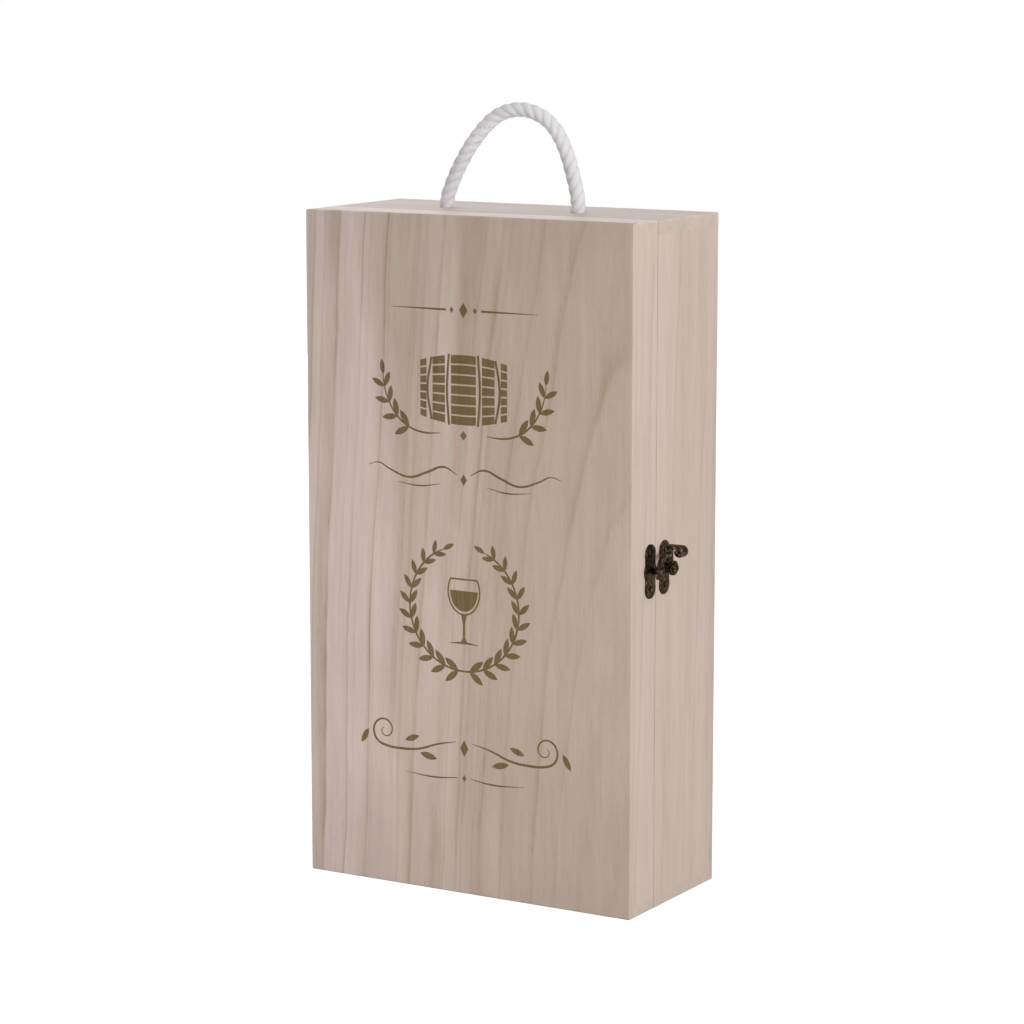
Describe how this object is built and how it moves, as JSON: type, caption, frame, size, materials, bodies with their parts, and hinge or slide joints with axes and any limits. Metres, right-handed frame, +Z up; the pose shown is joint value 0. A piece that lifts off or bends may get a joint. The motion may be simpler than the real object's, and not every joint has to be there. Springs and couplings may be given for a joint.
{
  "type": "wine box",
  "caption": "Upright wooden bottle box with a side-hinged front lid, a hook latch on the other side and a twisted rope handle through its top.",
  "frame": {"origin": "middle of the bottom face of the box", "axes": "+Z up along the box's height, the front faces -Y, +X towards the latch"},
  "size_m": [0.2132, 0.092, 0.4109],
  "materials": {
    "pale_paulownia": "matte",
    "antique_bronze": "satin",
    "steel_brads": "satin",
    "white_rope": "matte"
  },
  "bodies": {
    "base": {"back_panel": "pale_paulownia", "base_left_side": "pale_paulownia", "base_right_side": "pale_paulownia", "base_top_end": "pale_paulownia", "base_bottom_end": "pale_paulownia", "base_brads": "steel_brads", "divider": "pale_paulownia", "left_neck_rest": "pale_paulownia", "right_neck_rest": "pale_paulownia", "upper_hinge_base_leaf": "antique_bronze", "lower_hinge_base_leaf": "antique_bronze", "hinge_pins": "antique_bronze", "base_hinge_nails": "antique_bronze", "pivot_plate": "antique_bronze", "pivot_rivet": "antique_bronze", "pivot_nails": "antique_bronze", "rope_knots": "white_rope"},
    "lid": {"front_panel": "pale_paulownia", "lid_left_side": "pale_paulownia", "lid_right_side": "pale_paulownia", "lid_top_end": "pale_paulownia", "lid_bottom_end": "pale_paulownia", "lid_brads": "steel_brads", "upper_hinge_lid_leaf": "antique_bronze", "lower_hinge_lid_leaf": "antique_bronze", "lid_hinge_nails": "antique_bronze", "keeper_plate": "antique_bronze", "keeper_stud": "antique_bronze", "keeper_nails": "antique_bronze"},
    "latch_hook": {"latch_hook": "antique_bronze"},
    "rope_handle": {"rope_loop": "white_rope"}
  },
  "joints": [
    {"name": "lid_hinge", "type": "hinge", "parent": "base", "child": "lid", "pos_m": [-0.0993, -0.02, 0.1775], "axis": [0, 0, -1], "range_deg": [0, 180]},
    {"name": "hook_swing", "type": "hinge", "parent": "base", "child": "latch_hook", "pos_m": [0.0975, -0.0119, 0.178], "axis": [-1, 0, 0], "range_deg": [0, 110]},
    {"name": "rope_swing", "type": "hinge", "parent": "base", "child": "rope_handle", "pos_m": [0, 0.004, 0.3592], "axis": [1, 0, 0], "range_deg": [-75, 75], "stiffness_Nm_per_rad": 0.03}
  ]
}
